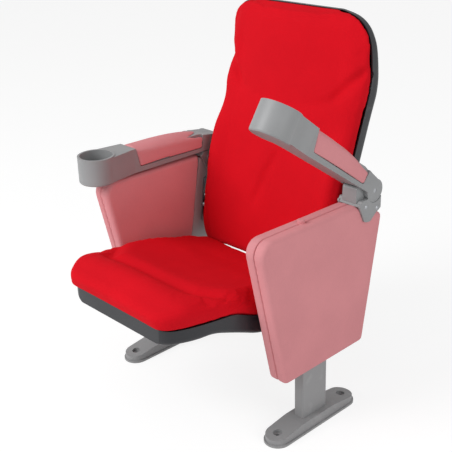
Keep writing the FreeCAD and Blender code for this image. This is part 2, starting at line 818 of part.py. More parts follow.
def arm_bar(side):
    """The armrest's straight stretch: level underside, bowed top and a barrel at the hinge."""
    middle = panel_mid(side)
    half = size.arm_wide / 2
    corners = [(size.arm_front - 20, size.arm_under, 0), (size.arm_y, size.arm_under, 0),
               (size.arm_y, size.arm_z + size.barrel_r - 0.6, 0)]
    corners += [(y, z, 0) for y, z in reversed(arm_top_profile())]
    bar = slab(corners, middle - half, middle + half)
    barrel = rod(size.barrel_r, middle - half, middle + half, size.arm_y, size.arm_z)
    return bar.fuse(barrel).removeSplitter()


def make_arm(name, side):
    middle = panel_mid(side)
    half = size.arm_wide / 2
    arm = arm_bar(side)
    # the neck widens from the bar to the cup holder, and the cup holder is round
    neck = Part.makePolygon([Vec(middle + across, y, size.arm_under) for across, y in (
        (-half, size.arm_front + 55), (half, size.arm_front + 55),
        (size.cup_r - 1.5, size.cup_y + 10), (1.5 - size.cup_r, size.cup_y + 10),
        (-half, size.arm_front + 55))])
    neck = Part.Face(neck).extrude(Vec(0, 0, size.arm_top - size.arm_under))
    cup = Part.makeCylinder(size.cup_r, size.cup_top - size.cup_low, Vec(middle, size.cup_y, size.cup_low))
    foot_ring = [edge for edge in cup.Edges if edge.BoundBox.ZLength < 0.01
                 and edge.BoundBox.ZMax < size.cup_low + 1]
    cup = cup.makeFillet(6, foot_ring)
    arm = arm.fuse(neck).fuse(cup).removeSplitter()
    bowl_low = size.cup_low + size.cup_floor
    arm = arm.cut(Part.makeCylinder(size.cup_bore_r, 100, Vec(middle, size.cup_y, bowl_low)))
    # the padded stretch is drawn in, so that the pad lies flush
    tongue_half = half - size.pad_side
    tongue = block((middle - tongue_half, -400, 500),
                   (middle + tongue_half, 400, size.arm_top - size.pad_top))
    slope = pad_zone(side, 0, 20).cut(tongue)
    arm = arm.cut(slope)
    # open slot under the hinge end for the block's tenon, swept from level to upright
    slot_half = size.tenon_wide / 2 + size.tenon_play
    pocket = slab(((size.arm_y - 70, 560, 0), (size.arm_y + 60, 560, 0),
                   (size.arm_y + 60, size.arm_z + 10, 0),
                   (size.arm_y, size.arm_z + size.tenon_r + 1.5, 10),
                   (size.arm_y - 70, size.arm_z + size.tenon_r + 1.5, 6)),
                  middle - slot_half, middle + slot_half)
    arm = arm.cut(pocket)
    arm = arm.cut(rod(size.arm_pin_r + size.pin_play, middle - half, middle + half, size.arm_y, size.arm_z))
    add_solid(name + "_armrest", turned_arm(arm, side))


def turned_arm(shape, side):
    """The right armrest stands raised, the left one is down."""
    if side > 0:
        shape = shape.copy()
        shape.rotate(Vec(0, size.arm_y, size.arm_z), Vec(1, 0, 0), -size.raised_angle)
    return shape


def make_arm_pad(name, side):
    """Saddle of foam and fabric over the armrest's drawn-in stretch, with a crowned top."""
    middle = panel_mid(side)
    half = size.arm_wide / 2
    crown = 3
    tops = arm_top_profile()
    sections = []
    stations = (size.pad_front - 40, size.pad_front + 20, -20, 50, 100, size.pad_rear + 20)
    for y in stations:
        top = between(y, tops)
        low = size.pad_low - 30
        shoulder = top - 10
        edges = [Part.makeLine(Vec(middle - half, y, low), Vec(middle + half, y, low)),
                 Part.makeLine(Vec(middle + half, y, low), Vec(middle + half, y, shoulder)),
                 Part.Arc(Vec(middle + half, y, shoulder), Vec(middle, y, top + crown),
                          Vec(middle - half, y, shoulder)).toShape(),
                 Part.makeLine(Vec(middle - half, y, shoulder), Vec(middle - half, y, low))]
        sections.append(Part.Wire(edges))
    saddle = loft(sections).common(pad_zone(side, 0, 20))
    inner_half = half - size.pad_side
    hollow = block((middle - inner_half, -400, 500),
                   (middle + inner_half, 400, size.arm_top - size.pad_top))
    saddle = saddle.cut(hollow)
    add_solid(name + "_arm_pad", turned_arm(saddle, side))


def make_hinge_block(name, side):
    """Moulded block on the panel's rear top corner: a saddle with an ear down each face, a round
    seat under the armrest's barrel and a tenon up into the armrest's slot."""
    middle = panel_mid(side)
    half = size.block_wide / 2
    slope = (size.panel_rear_top - size.panel_top) / (size.panel_rear_high - size.panel_shoulder)

    def roof(y):
        return size.panel_top + slope * (y - size.panel_shoulder)

    front = size.panel_shoulder + 6
    rear = size.arm_y + 24
    under = size.arm_under - 2
    saddle = slab(((front, roof(front), 0), (rear - 14, roof(rear - 14), 0),
                   (rear, roof(rear) + 14, 4), (rear, under, 0), (front + 10, under, 4)),
                  middle - half, middle + half)
    inner_half = size.panel_thick / 2
    ear = slab(((front - 2, roof(front) + 6, 4), (size.ear_y - 22, size.ear_low + 4, 12),
                (size.ear_y, size.ear_low, 10), (size.ear_y + 26, size.ear_low + 20, 10),
                (rear, roof(rear) + 20, 4), (front + 30, under - 4, 0)),
               middle - half, middle + half)
    ear = ear.cut(block((middle - inner_half, -400, 400), (middle + inner_half, 400, 700)))
    body = saddle.fuse(ear)
    body = body.cut(rod(size.barrel_r + 0.6, middle - half - 1, middle + half + 1, size.arm_y, size.arm_z))
    tenon_half = size.tenon_wide / 2
    tenon = slab(((size.arm_y - 60, under - 6, 0), (size.arm_y - 6, under - 24, 0),
                  (size.arm_y + 8, size.arm_z, 0), (size.arm_y, size.arm_z + size.tenon_r - 8, 6),
                  (size.arm_y - 58, size.arm_z + size.tenon_r - 3, 8)),
                 middle - tenon_half, middle + tenon_half)
    tenon = tenon.fuse(rod(size.tenon_r, middle - tenon_half, middle + tenon_half, size.arm_y, size.arm_z))
    body = body.fuse(tenon).removeSplitter()
    body = body.cut(rod(size.arm_pin_r, middle - half, middle + half, size.arm_y, size.arm_z))
    for y, z in block_screws():
        body = body.cut(rod(2.5, middle - half - 1, middle + half + 1, y, z))
    add_solid(name + "_arm_hinge_block", body)


def block_screws():
    return ((size.ear_y - 18, size.ear_low + 44), (size.ear_y + 26, size.ear_low + 30))


def make_block_screws(name, side):
    middle = panel_mid(side)
    solids = []
    for direction in (-1, 1):
        face = middle + direction * size.block_wide / 2
        for y, z in block_screws():
            head = Part.makeSphere(7, Vec(face - direction * 4.5, y, z))
            head = head.common(rod(6, *ordered(face, face + direction * 3), y, z))
            inner = middle + direction * (size.panel_thick / 2 - size.cover_thick + 4)
            shank = rod(2.5, *ordered(inner, face), y, z)
            solids.append(head.fuse(shank).removeSplitter())
    add_solid(name + "_hinge_block_screws", Part.makeCompound(solids))


def make_arm_pin(name, side):
    pin = doc.addObject("Part::Cylinder", name + "_arm_pin")
    pin.Label = name + "_arm_pin"
    pin.setExpression("Radius", "Sizes.arm_pin_r")
    pin.setExpression("Height", "Sizes.arm_wide - 1")
    pin.Placement = FreeCAD.Placement(Vec(0, 0, 0), FreeCAD.Rotation(Vec(0, 1, 0), 90))
    pin.setExpression("Placement.Base.x", "%d * Sizes.stand_gap / 2 - Sizes.arm_wide / 2 + 0.5" % side)
    pin.setExpression("Placement.Base.y", "Sizes.arm_y")
    pin.setExpression("Placement.Base.z", "Sizes.arm_z")
    subparts.append(pin)


def make_buffer(name, side):
    """Rubber buffer on the panel's top edge, under the lowered armrest."""
    body = new_body(name + "_arm_buffer")
    middle = "%d * Sizes.stand_gap / 2" % side
    low = new_sketch(body, "XY_Plane", "Sizes.panel_top")
    draw_circle(low, middle, "Sizes.buffer_y", "9")
    button = pad(body, low, "Sizes.arm_under - Sizes.panel_top - Sizes.soft_gap")

    def top_edge(edge, spot):
        return spot.z > size.arm_under - 1
    round_edges(body, button, "2", top_edge)


# Back

# The back seen from the side: where its cushion's side edge lies at each height.
def back_edge(z):
    return between(z, ((337, 122), (387, 119), (449, 121), (500, 130), (552, 142), (627, 167),
                       (705, 194), (781, 222), (848, 243), (900, 251), (960, 253), (1000, 252),
                       (1018, 255), (1032, 262)))


def seam_line():
    """The seam between the back's shell and cushion seen from the side, as (y, z, radius)."""
    return ((153, 300, 0), (153, 482, 200), (282, 845, 150), (266, 1060, 0))


def ahead_of_seam():
    return slab(seam_line() + ((40, 1060, 0), (40, 300, 0)), -300, 300)


def back_width(z):
    top = size.back_top
    return between(z, ((337, 226), (365, 236), (420, size.back_half), (840, size.back_half),
                       (top - 132, 237), (top - 82, 231), (top - 50, 220), (top - 30, 205),
                       (top - 16, 184), (top - 6, 160), (top, 128)))


def back_middle(z):
    """How far the cushion's middle stands forward of its side edge: a dish behind the waist and a
    crown on the headrest."""
    dish = -size.lumbar_dish
    return between(z, ((337, -2), (380, -3), (449, dish), (560, dish), (680, 4), (760, 20),
                       (840, size.head_crown), (930, size.head_crown), (990, 24), (1032, 4)))


def seam_strip(near, far, x_low, x_high):
    """A strip behind the seam, between two distances from it."""
    front = [(y + near, z, radius) for y, z, radius in seam_line()]
    rear = [(y + far, z, radius) for y, z, radius in reversed(seam_line())]
    return slab(front + rear, x_low, x_high)


def back_seam(z):
    return between(z, [(corner[1], corner[0]) for corner in seam_line()])


def back_stations():
    top = size.back_top
    return [size.back_bottom, size.back_bottom + 30, 420, 470, 530, 600, 680, 760, 830, 885,
            top - 82, top - 50, top - 28, top - 12, top - 3]


def back_section(z, half, front, rear, middle, round_y, tuck):
    """One closed level section: flat rear, drawn-in sides and a dished or crowned front."""
    points = (Vec(-half + tuck, rear, z), Vec(half - tuck, rear, z), Vec(half, front + round_y, z),
              Vec(half - 20, front, z), Vec(0, middle, z), Vec(20 - half, front, z),
              Vec(-half, front + round_y, z))
    return Part.Wire([Part.makeLine(points[0], points[1]),
                      Part.Arc(points[1], points[2], points[3]).toShape(),
                      Part.Arc(points[3], points[4], points[5]).toShape(),
                      Part.Arc(points[5], points[6], points[0]).toShape()])


def make_back_cushion():
    sections = []
    for z in back_stations():
        front = back_edge(z)
        rear = back_seam(z) + 12
        middle = front - back_middle(z)
        sections.append(back_section(z, back_width(z), front, rear, middle, 14, 2))
    add_solid("back_cushion", loft(sections).common(ahead_of_seam()))


def shell_section(z, half, front, rear, corner):
    """One level section of the shell: straight sides and round rear corners."""
    turn = corner * (1 - math.sqrt(0.5))
    return Part.Wire([
        Part.makeLine(Vec(-half, front, z), Vec(half, front, z)),
        Part.makeLine(Vec(half, front, z), Vec(half, rear - corner, z)),
        Part.Arc(Vec(half, rear - corner, z), Vec(half - turn, rear - turn, z),
                 Vec(half - corner, rear, z)).toShape(),
        Part.makeLine(Vec(half - corner, rear, z), Vec(corner - half, rear, z)),
        Part.Arc(Vec(corner - half, rear, z), Vec(turn - half, rear - turn, z),
                 Vec(-half, rear - corner, z)).toShape(),
        Part.makeLine(Vec(-half, rear - corner, z), Vec(-half, front, z))])


def shell_rear(z):
    return back_seam(z) + size.shell_deep - between(z, ((800, 0), (850, 6), (934, 14), (970, 20),
                                                        (1010, 26), (1032, 34)))


def shell_loft(inset):
    """The back shell's form from just ahead of its seam; an inset gives the hollow inside it."""
    stations = back_stations()
    stations[0] = stations[0] + inset
    stations[-1] = stations[-1] - inset
    sections = []
    for z in stations:
        corner = (shell_rear(z) - back_seam(z)) * 0.55
        sections.append(shell_section(z, back_width(z) - inset, back_seam(z) - 8,
                                      shell_rear(z) - inset, corner - inset))
    return loft(sections)


def bracket_tab(side, grow):
    """The back bracket's tab, from its plate to the frame's upright."""
    plate = bracket_face_x(side) - side * (size.trim_thick + size.tab_thick)
    low, high = ordered(plate, side * 190)
    front = back_seam(size.tab_low) + size.frame_bar + 1
    return block((low, front - grow, size.tab_low - grow),
                 (high, front + size.tab_thick + grow, size.tab_high + grow))


def make_back_shell():
    shell = shell_loft(0).cut(ahead_of_seam())
    shell = shell.cut(shell_loft(size.shell_wall).cut(ahead_of_seam()))
    for name, side in sides:
        shell = shell.cut(bracket_tab(side, 0.5))
    add_solid("back_shell", shell)


def back_bolts():
    return [(side * 202, z) for name, side in sides for z in (size.tab_low + 16, size.tab_high - 16)]


def make_back_frame():
    """Two uprights inside the shell joined by rails, all flat steel bar."""
    reach = 1 + size.frame_bar
    frame = None
    for name, side in sides:
        low, high = ordered(side * 214, side * 190)
        upright = seam_strip(1, reach, low, high).common(block((low, 0, 362), (high, 400, 930)))
        frame = upright if frame is None else frame.fuse(upright)
    for low, high in ((352, 384), (588, 612), (788, 812), (905, 925)):
        rail = seam_strip(1, reach, -200, 200).common(block((-200, 0, low), (200, 400, high)))
        frame = frame.fuse(rail)
    frame = frame.removeSplitter()
    for x, z in back_bolts():
        frame = frame.cut(Part.makeCylinder(size.bolt_r, 60, Vec(x, 130, z), Vec(0, 1, 0)))
    add_solid("back_frame", frame)


def make_back_bolts():
    """Hexagon bolts that hold the bracket tabs to the back frame."""
    solids = []
    face = back_seam(size.tab_low) + size.frame_bar + 1 + size.tab_thick
    for x, z in back_bolts():
        ring = [math.radians(60 * step) for step in range(7)]
        head = Part.Face(Part.makePolygon([Vec(x + 7.5 * math.cos(turn), face, z + 7.5 * math.sin(turn))
                                           for turn in ring])).extrude(Vec(0, 5, 0))
        shank = Part.makeCylinder(size.bolt_r, size.frame_bar + size.tab_thick - 0.5,
                                  Vec(x, face, z), Vec(0, -1, 0))
        solids.append(head.fuse(shank).removeSplitter())
    add_solid("back_bolts", Part.makeCompound(solids))


def make_back_bracket(name, side):
    """Steel plate on the trim, with a tab that reaches through the shell's side to the frame."""
    face = bracket_face_x(side) - side * size.trim_thick
    low, high = ordered(face, face - side * size.tab_thick)
    plate = slab(((130, 372, 8), (176, 372, 8), (176, 440, 12), (180, 508, 8), (146, 508, 8)),
                 low, high)
    plate = plate.fuse(bracket_tab(side, 0)).removeSplitter()
    for y, z in back_screws():
        plate = plate.cut(rod(size.bolt_r, low, high, y, z))
    for x, z in back_bolts():
        plate = plate.cut(Part.makeCylinder(size.bolt_r, 60, Vec(x, 130, z), Vec(0, 1, 0)))
    add_solid(name + "_back_bracket", plate)


def make_back_screws():
    """Domed screws through back bracket and trim into the pivot bracket."""
    solids = []
    for name, side in sides:
        face = bracket_face_x(side) - side * (size.trim_thick + size.tab_thick)
        inner = bracket_face_x(side) - side * 1
        for y, z in back_screws():
            shank = rod(size.bolt_r, *ordered(face, inner), y, z)
            head = Part.makeCone(7, 4.5, 4, Vec(face, y, z), Vec(-side, 0, 0))
            solids.append(shank.fuse(head).removeSplitter())
    add_solid("back_bracket_screws", Part.makeCompound(solids))


for name, side in sides:
    make_foot(name + "_foot", side)
    make_post(name + "_post", side)
    add_solid(name + "_side_core", core_solid(side))
    make_covers(name, side)
    make_trim(name, side)
    make_bracket(name, side)
    make_pins(name, side)
    make_hinge_plate(name, side)
    make_bush(name, side)
    make_spring_can(name, side)
    make_arm(name, side)
    make_arm_pad(name, side)
    make_hinge_block(name, side)
    make_block_screws(name, side)
    make_arm_pin(name, side)
    make_buffer(name, side)
    make_back_bracket(name, side)
make_seat_shell()
make_seat_cushion()
make_seat_frame()
make_hinge_screws()
make_back_cushion()
make_back_shell()
make_back_frame()
make_bracket_screws()
make_pan_screws()
make_back_bolts()
make_back_screws()

doc.recompute()
for item in doc.Objects:
    if "Invalid" in item.State or "Error" in item.State:
        raise RuntimeError("%s is in state %s" % (item.Label, item.State))
for item in subparts:
    if item.Shape.isNull() or not item.Shape.isValid():
        raise RuntimeError("%s has no valid shape" % item.Label)
for item in subparts:
    item.Shape.exportStep("parts/%s.step" % item.Label)
    print(item.Label, len(item.Shape.Solids), round(item.Shape.Volume / 1000, 1))
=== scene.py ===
import bpy
import json
import math
from mathutils import Vector, Matrix, noise


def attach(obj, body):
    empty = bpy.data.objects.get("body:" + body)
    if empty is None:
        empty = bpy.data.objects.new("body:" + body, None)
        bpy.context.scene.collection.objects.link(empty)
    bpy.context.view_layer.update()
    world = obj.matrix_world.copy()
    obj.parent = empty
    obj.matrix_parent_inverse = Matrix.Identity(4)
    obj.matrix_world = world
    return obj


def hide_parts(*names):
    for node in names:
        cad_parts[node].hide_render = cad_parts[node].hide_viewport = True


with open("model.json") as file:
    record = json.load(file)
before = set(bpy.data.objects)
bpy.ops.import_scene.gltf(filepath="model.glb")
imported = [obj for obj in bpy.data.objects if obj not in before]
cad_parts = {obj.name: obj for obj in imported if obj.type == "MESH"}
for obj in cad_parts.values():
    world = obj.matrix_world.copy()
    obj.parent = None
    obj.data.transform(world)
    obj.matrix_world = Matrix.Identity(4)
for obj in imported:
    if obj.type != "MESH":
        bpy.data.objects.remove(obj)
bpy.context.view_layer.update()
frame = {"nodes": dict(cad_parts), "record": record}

nodes = frame["nodes"]
slotOfNode = {part["node"]: part["material_slot"] for part in frame["record"]["subparts"]}
bpy.ops.object.select_all(action="DESELECT")


def addNode(tree, kind, inputs=(), **settings):
    node = tree.nodes.new(kind)
    for key, value in settings.items():
        setattr(node, key, value)
    for key, value in inputs:
        if isinstance(value, bpy.types.NodeSocket):
            tree.links.new(value, node.inputs[key])
        else:
            node.inputs[key].default_value = value
    return node


def startMaterial(name):
    material = bpy.data.materials.new(name)
    material.use_nodes = True
    tree = material.node_tree
    place = addNode(tree, "ShaderNodeTexCoord").outputs["Object"]
    return material, tree, tree.nodes["Principled BSDF"], place


def noiseAt(tree, place, scale, detail=2.0, stretch=None):
    if stretch:
        mapping = addNode(tree, "ShaderNodeMapping", (("Vector", place), ("Scale", stretch)))
        place = mapping.outputs["Vector"]
    return addNode(tree, "ShaderNodeTexNoise",
                   (("Vector", place), ("Scale", scale), ("Detail", detail))).outputs["Fac"]


def maths(tree, operation, first, second):
    return addNode(tree, "ShaderNodeMath", ((0, first), (1, second)), operation=operation).outputs[0]


def spread(tree, value, low, high, start=0.0, end=1.0):
    return addNode(tree, "ShaderNodeMapRange",
                   (("Value", value), ("From Min", low), ("From Max", high),
                    ("To Min", start), ("To Max", end))).outputs["Result"]


def mixColour(tree, factor, first, second):
    node = addNode(tree, "ShaderNodeMix", data_type="RGBA")
    for socket, value in (("Factor_Float", factor), ("A_Color", first), ("B_Color", second)):
        target = [item for item in node.inputs if item.identifier == socket][0]
        if isinstance(value, bpy.types.NodeSocket):
            tree.links.new(value, target)
        else:
            target.default_value = value
    return [item for item in node.outputs if item.identifier == "Result_Color"][0]


def shade(colour, factor=1.0):
    return (colour[0] * factor, colour[1] * factor, colour[2] * factor, 1.0)


def addBump(tree, shader, height, strength, distance):
    bump = addNode(tree, "ShaderNodeBump",
                   (("Height", height), ("Strength", strength), ("Distance", distance)))
    tree.links.new(bump.outputs["Normal"], shader.inputs["Normal"])


# every soft cover has the same close cloth, red on the seat and faded on the stands
clothLook = {"threads": 480.0, "warp": (1.0, 1.0, 0.22), "weft": (0.22, 0.6, 1.0), "lint": 1100.0,
             "cloud": 7.0, "cloudDetail": 3.0, "cloudRange": (0.35, 0.65), "cloudDepth": 0.07,
             "threadRange": (0.40, 0.68), "threadDepth": 0.10, "threadLight": 1.3,
             "bump": 0.30, "bumpHeight": 0.0005, "roughness": 0.88, "specular": 0.10,
             "sheen": 0.08, "sheenRoughness": 0.5, "sheenLight": 1.2}


def clothMaterial(name, colour):
    material, tree, shader, place = startMaterial(name)
    look = clothLook
    warp = noiseAt(tree, place, look["threads"], 1.0, look["warp"])
    weft = noiseAt(tree, place, look["threads"], 1.0, look["weft"])
    weave = maths(tree, "MAXIMUM", warp, weft)
    lint = noiseAt(tree, place, look["lint"])
    cloud = spread(tree, noiseAt(tree, place, look["cloud"], look["cloudDetail"]), *look["cloudRange"])
    base = mixColour(tree, cloud, shade(colour, 1 - look["cloudDepth"]), shade(colour))
    threads = spread(tree, weave, *look["threadRange"])
    base = mixColour(tree, maths(tree, "MULTIPLY", threads, look["threadDepth"]), base,
                     shade(colour, look["threadLight"]))
    tree.links.new(base, shader.inputs["Base Color"])
    addBump(tree, shader, maths(tree, "ADD", weave, lint), look["bump"], look["bumpHeight"])
    shader.inputs["Roughness"].default_value = look["roughness"]
    shader.inputs["Specular IOR Level"].default_value = look["specular"]
    shader.inputs["Sheen Weight"].default_value = look["sheen"]
    shader.inputs["Sheen Roughness"].default_value = look["sheenRoughness"]
    shader.inputs["Sheen Tint"].default_value = shade(colour, look["sheenLight"])
    return material


# moulded plastic, rubber and nylon: a fine leathery grain and slightly polished patches
plasticLook = {"grain": 650.0, "speck": 2600.0, "bump": 0.25, "bumpHeight": 0.00025,
               "patch": 9.0, "patchDetail": 4.0, "patchRange": (0.35, 0.75), "patchLight": 1.12,
               "polishRange": (0.3, 0.8), "polish": 0.06}


def plasticMaterial(name, colour, roughness):
    look = plasticLook
    material, tree, shader, place = startMaterial(name)
    cells = addNode(tree, "ShaderNodeTexVoronoi", (("Vector", place), ("Scale", look["grain"])),
                    feature="SMOOTH_F1").outputs["Distance"]
    addBump(tree, shader, maths(tree, "ADD", cells, noiseAt(tree, place, look["speck"])),
            look["bump"], look["bumpHeight"])
    patch = noiseAt(tree, place, look["patch"], look["patchDetail"])
    tree.links.new(mixColour(tree, spread(tree, patch, *look["patchRange"]), shade(colour),
                             shade(colour, look["patchLight"])),
                   shader.inputs["Base Color"])
    tree.links.new(spread(tree, patch, *look["polishRange"], roughness + look["polish"],
                          roughness - look["polish"]),
                   shader.inputs["Roughness"])
    return material


# satin powder coat with a light orange peel and a few rubbed places
paintLook = {"peel": 380.0, "peelDetail": 1.5, "bump": 0.18, "bumpHeight": 0.0008,
             "scuff": 26.0, "scuffDetail": 6.0, "scuffRange": (0.56, 0.72), "scuffLight": 1.15,
             "glossRange": (0.3, 0.75), "roughness": (0.44, 0.58)}


def paintMaterial(name, colour):
    look = paintLook
    material, tree, shader, place = startMaterial(name)
    addBump(tree, shader, noiseAt(tree, place, look["peel"], look["peelDetail"]),
            look["bump"], look["bumpHeight"])
    scuff = noiseAt(tree, place, look["scuff"], look["scuffDetail"])
    tree.links.new(mixColour(tree, spread(tree, scuff, *look["scuffRange"]), shade(colour),
                             shade(colour, look["scuffLight"])),
                   shader.inputs["Base Color"])
    tree.links.new(spread(tree, scuff, *look["glossRange"], *look["roughness"]),
                   shader.inputs["Roughness"])
    return material


# zinc plated steel: drawn lines and cloudy plating
steelLook = {"lines": 30.0, "lineDetail": 4.0, "drawn": (1.0, 40.0, 40.0), "bump": 0.12,
             "bumpHeight": 0.0004, "cloud": 60.0, "cloudDetail": 3.0, "cloudRange": (0.3, 0.7),
             "cloudShade": 0.85, "roughness": (0.28, 0.45)}


def steelMaterial(name, colour):
    look = steelLook
    material, tree, shader, place = startMaterial(name)
    lines = noiseAt(tree, place, look["lines"], look["lineDetail"], look["drawn"])
    cloud = noiseAt(tree, place, look["cloud"], look["cloudDetail"])
    tree.links.new(mixColour(tree, spread(tree, cloud, *look["cloudRange"]),
                             shade(colour, look["cloudShade"]), shade(colour)),
                   shader.inputs["Base Color"])
    addBump(tree, shader, lines, look["bump"], look["bumpHeight"])
    tree.links.new(spread(tree, lines, 0.0, 1.0, *look["roughness"]), shader.inputs["Roughness"])
    shader.inputs["Metallic"].default_value = 1.0
    return material


# raw plywood: long soft grain
boardLook = {"grain": 3.0, "grainDetail": 6.0, "length": (60.0, 4.0, 26.0), "grainRange": (0.3, 0.7),
             "grainShade": 0.6, "bump": 0.15, "bumpHeight": 0.0005, "roughness": 0.8}


def boardMaterial(name, colour):
    look = boardLook
    material, tree, shader, place = startMaterial(name)
    grain = noiseAt(tree, place, look["grain"], look["grainDetail"], look["length"])
    tree.links.new(mixColour(tree, spread(tree, grain, *look["grainRange"]),
                             shade(colour, look["grainShade"]), shade(colour)),
                   shader.inputs["Base Color"])
    addBump(tree, shader, grain, look["bump"], look["bumpHeight"])
    shader.inputs["Roughness"].default_value = look["roughness"]
    return material


colours = {"seat": (0.70, 0.005, 0.014), "stand": (0.76, 0.31, 0.33), "shell": (0.013, 0.014, 0.018),
           "grey": (0.29, 0.295, 0.30), "trim": (0.42, 0.42, 0.425), "paint": (0.31, 0.31, 0.315),
           "steel": (0.42, 0.43, 0.45), "board": (0.55, 0.40, 0.24), "rubber": (0.02, 0.02, 0.02),
           "padRubber": (0.70, 0.27, 0.29), "nylon": (0.05, 0.05, 0.055)}
roughnesses = {"shell": 0.42, "grey": 0.46, "trim": 0.5, "rubber": 0.7, "padRubber": 0.75, "nylon": 0.5}


def ownPlastic(name, kind):
    return plasticMaterial(name, colours[kind], roughnesses[kind])


materials = {
    "seat_fabric": clothMaterial("seatCloth", colours["seat"]),
    "side_fabric": clothMaterial("standCloth", colours["stand"]),
    "shell_plastic": ownPlastic("shellPlastic", "shell"),
    "grey_plastic": ownPlastic("armPlastic", "grey"),
    "grey_paint": paintMaterial("standPaint", colours["paint"]),
    "steel": steelMaterial("zincSteel", colours["steel"]),
    "plywood": boardMaterial("coreBoard", colours["board"]),
    "rubber": ownPlastic("bufferRubber", "rubber"),
    "nylon": ownPlastic("bushNylon", "nylon"),
}
# the side trims are paler than the armrests, and the arm buffers have the stands' tone
ownMaterials = {"side_trim": ownPlastic("trimPlastic", "trim"),
                "arm_buffer": ownPlastic("padRubber", "padRubber")}
for nodeName, item in nodes.items():
    own = [ownMaterials[ending] for ending in ownMaterials if nodeName.endswith(ending)]
    item.data.materials.clear()
    item.data.materials.append(own[0] if own else materials[slotOfNode[nodeName]])
print("materials")


def pickOnly(piece):
    bpy.ops.object.select_all(action="DESELECT")
    bpy.context.view_layer.objects.active = piece
    piece.select_set(True)


# points of a node's mesh closer than this are one point
weldGap = 0.00005


# a piece of the scene starts from the form of the node that it replaces
def nodeCopy(nodeName, pieceName):
    piece = bpy.data.objects.new(pieceName, nodes[nodeName].data.copy())
    bpy.context.collection.objects.link(piece)
    pickOnly(piece)
    bpy.ops.object.mode_set(mode="EDIT")
    bpy.ops.mesh.select_all(action="SELECT")
    bpy.ops.mesh.remove_doubles(threshold=weldGap)
    bpy.ops.mesh.normals_make_consistent(inside=False)
    bpy.ops.object.mode_set(mode="OBJECT")
    return piece


def applyModifier(piece, kind, **settings):
    modifier = piece.modifiers.new(kind.title(), kind)
    for key, value in settings.items():
        setattr(modifier, key, value)
    pickOnly(piece)
    bpy.ops.object.modifier_apply(modifier=modifier.name)


# a fine even skin in the node's form
def reskin(piece, look):
    applyModifier(piece, "REMESH", mode="VOXEL", voxel_size=look["voxel"])
    applyModifier(piece, "SMOOTH", factor=0.5, iterations=look["smoothing"])


clothPull = {"frames": 14, "quality": 4, "stretch": 12, "bend": 3}


# blows the skin up like cloth over foam, no point moving further than the cap
def puffUp(piece, pressure, cap):
    rest = [vertex.co.copy() for vertex in piece.data.vertices]
    pickOnly(piece)
    cloth = piece.modifiers.new("Cloth", "CLOTH")
    cloth.settings.use_pressure = True
    cloth.settings.uniform_pressure_force = pressure
    cloth.settings.effector_weights.gravity = 0.0
    cloth.settings.quality = clothPull["quality"]
    cloth.settings.tension_stiffness = clothPull["stretch"]
    cloth.settings.compression_stiffness = clothPull["stretch"]
    cloth.settings.bending_stiffness = clothPull["bend"]
    cloth.collision_settings.use_collision = False
    for number in range(1, clothPull["frames"] + 1):
        bpy.context.scene.frame_set(number)
    shaped = piece.evaluated_get(bpy.context.evaluated_depsgraph_get())
    moved = [vertex.co.copy() for vertex in shaped.data.vertices]
    piece.modifiers.remove(cloth)
    bpy.context.scene.frame_set(1)
    for vertex, start, end in zip(piece.data.vertices, rest, moved):
        step = end - start
        if step.length > cap:
            step = step.normalized() * cap
        vertex.co = start + step


# moves every point along its normal by what the rule gives for its place and normal
def sculpt(piece, rule):
    piece.data.update()
    normals = [vertex.normal.copy() for vertex in piece.data.vertices]
    for vertex, normal in zip(piece.data.vertices, normals):
        vertex.co += normal * rule(vertex.co, normal)
    piece.data.update()


# brings a piece to its photographed size, where the frame's solid falls a little short of it
def refit(piece, rule):
    for vertex in piece.data.vertices:
        vertex.co += Vector(rule(vertex.co))
    piece.data.update()


def finishSoft(piece, nodeName, body):
    for polygon in piece.data.polygons:
        polygon.use_smooth = True
    piece.data.materials.clear()
    piece.data.materials.append(materials[slotOfNode[nodeName]])
    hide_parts(nodeName)
    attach(piece, body)


def bell(distance, width):
    return math.exp(-(distance / width) ** 2)


def ease(value, low, high):
    part = min(max((value - low) / (high - low), 0.0), 1.0)
    return part * part * (3 - 2 * part)


# how far a point lies from a sewn or pressed line, and how far along it
def lineDistance(across, along, path):
    best, where = 9.0, 0.0
    for number in range(len(path) - 1):
        startX, startY = path[number]
        runX, runY = path[number + 1][0] - startX, path[number + 1][1] - startY
        part = ((across - startX) * runX + (along - startY) * runY) / (runX * runX + runY * runY)
        part = min(max(part, 0.0), 1.0)
        gap = math.hypot(across - startX - runX * part, along - startY - runY * part)
        if gap < best:
            best, where = gap, (number + part) / (len(path) - 1)
    return best, where


creaseScale = 22.0
# a surface faces a side between these parts of its normal, and still shows from it between the others
facing = (0.1, 0.7)
inView = (-0.2, 0.3)


def softCreases(place, depth):
    return depth * noise.noise(place * creaseScale)


seatCushionLook = {
    "voxel": 0.006, "smoothing": 5, "pressure": 3.0, "cap": 0.005, "fill": 0.85, "ripple": 0.0008,
    "valley": 0.015, "valleyWidth": 0.022, "valleyEnds": (0.0, 0.2),
    "valleyPath": ((-0.228, -0.165), (-0.212, -0.215), (-0.157, -0.277), (-0.019, -0.266),
                   (0.064, -0.270), (0.147, -0.264), (0.212, -0.215), (0.228, -0.165)),
    "roll": 0.006, "rollY": 0.338, "rollWidth": 0.034,
    "dish": 0.006, "dishY": 0.12, "dishWidth": 0.14, "dishLength": 0.12,
    "hip": 0.006, "hipY": (-0.08, 0.0),
    "shoulder": 0.006, "shoulderY": (0.24, 0.34), "shoulderZ": (0.392, 0.418),
    "shoulderTurn": (0.3, 0.9),
    "front": 0.007, "frontY": (0.15, 0.36), "rear": 0.009, "rearY": (0.0, 0.09)}


